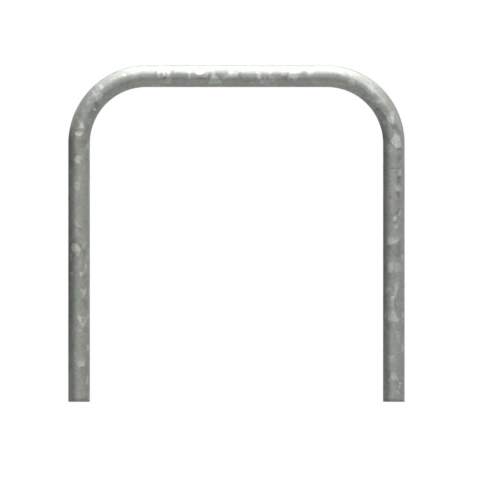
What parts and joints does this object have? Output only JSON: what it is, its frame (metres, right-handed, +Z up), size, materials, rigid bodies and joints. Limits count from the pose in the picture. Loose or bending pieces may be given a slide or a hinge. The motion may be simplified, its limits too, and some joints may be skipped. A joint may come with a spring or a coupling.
{
  "type": "hoop bike rack",
  "caption": "Galvanised steel tube bent into an upside-down U that a bicycle leans on and is locked to, with a threaded anchor fitting hidden in the end of each leg.",
  "frame": {"origin": "on the ground, midway between the two legs, below the middle of the tube", "axes": "+Z up, +X from the left leg to the right leg as seen from the front, +Y from the front to the back, across the tube"},
  "size_m": [0.75, 0.0484, 0.75],
  "materials": {
    "galvanised_tube": "satin",
    "galvanised_fitting": "matte"
  },
  "bodies": {
    "root": {"hoop_tube": "galvanised_tube", "left_foot_disc": "galvanised_fitting", "left_anchor_nut": "galvanised_fitting", "right_foot_disc": "galvanised_fitting", "right_anchor_nut": "galvanised_fitting"}
  },
  "joints": []
}
